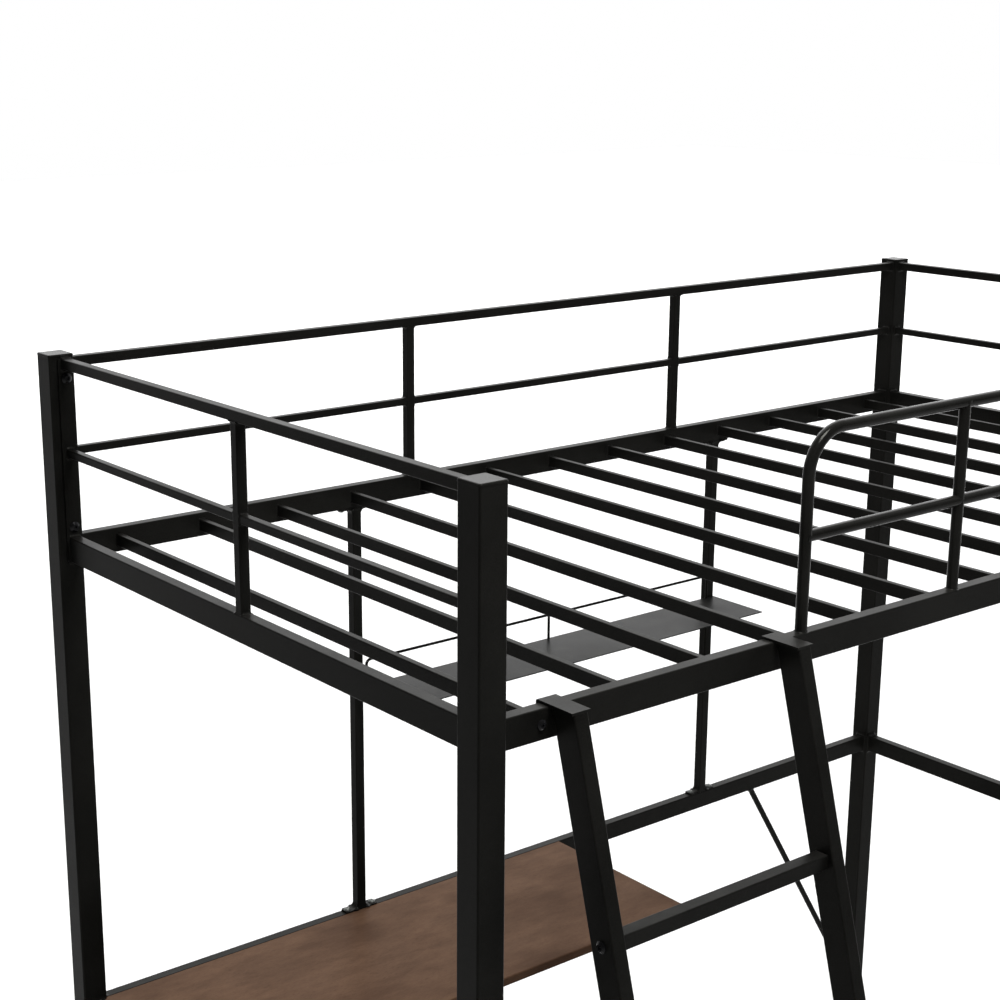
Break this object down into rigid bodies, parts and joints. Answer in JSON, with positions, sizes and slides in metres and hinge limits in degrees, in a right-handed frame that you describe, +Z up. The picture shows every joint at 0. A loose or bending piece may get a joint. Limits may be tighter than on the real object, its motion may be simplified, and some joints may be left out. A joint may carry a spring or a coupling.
{
  "type": "loft bed with desk",
  "caption": "Tubular steel loft bed with slats, guard rails and a leaning ladder; a desk board, shelf and braces sit below between the posts.",
  "frame": {"origin": "on the floor at the centre of the whole footprint, from the front of the ladder shoes to the back of the post caps", "axes": "+X along the bed away from the ladder end, -Y towards the ladder side, +Y towards the wall side with desk and shelf, +Z up"},
  "size_m": [1.983, 1.5124, 1.822],
  "materials": {
    "frame_black": "satin powder coat",
    "shelf_black": "satin powder coat",
    "desk_brown": "satin brown foil on chipboard",
    "foot_plastic": "matte black",
    "bolt_black": "black oxide, slightly glossy"
  },
  "bodies": {
    "root": {"back_bed_rail": "frame_black", "back_desk_rail": "frame_black", "back_mid_rails": "frame_black", "back_top_rail": "frame_black", "back_upright_left": "frame_black", "back_upright_right": "frame_black", "brace_left": "frame_black", "brace_right": "frame_black", "desk_board": "desk_brown", "desk_front_bar": "frame_black", "desk_middle_bar": "frame_black", "desk_outer_bar": "frame_black", "frame_bolts": "bolt_black", "frame_nuts": "bolt_black", "front_bed_rail": "frame_black", "guard_mid_bars": "frame_black", "guard_tube": "frame_black", "guard_uprights": "frame_black", "ladder_hook_left": "frame_black", "ladder_hook_right": "frame_black", "ladder_rungs": "frame_black", "ladder_shoes": "foot_plastic", "ladder_stile_left": "frame_black", "ladder_stile_right": "frame_black", "left_back_strip": "frame_black", "left_bed_rail": "frame_black", "left_desk_rail": "frame_black", "left_front_strip": "frame_black", "left_mid_rails": "frame_black", "left_top_rail": "frame_black", "left_upright": "frame_black", "post_back_left": "frame_black", "post_back_right": "frame_black", "post_caps": "frame_black", "post_feet": "foot_plastic", "post_front_left": "frame_black", "post_front_right": "frame_black", "right_bed_rail": "frame_black", "right_desk_rail": "frame_black", "right_mid_rails": "frame_black", "right_top_rail": "frame_black", "right_upright": "frame_black", "rung_bolts": "bolt_black", "shelf_bolts": "bolt_black", "shelf_sheet": "shelf_black", "shelf_upright_left": "frame_black", "shelf_upright_left_plates": "frame_black", "shelf_upright_right": "frame_black", "shelf_upright_right_plates": "frame_black", "shelf_wire_post": "frame_black", "shelf_wire_rail": "frame_black", "slat_bolts": "bolt_black", "slat_end_plugs": "foot_plastic", "slats": "frame_black"}
  },
  "joints": []
}
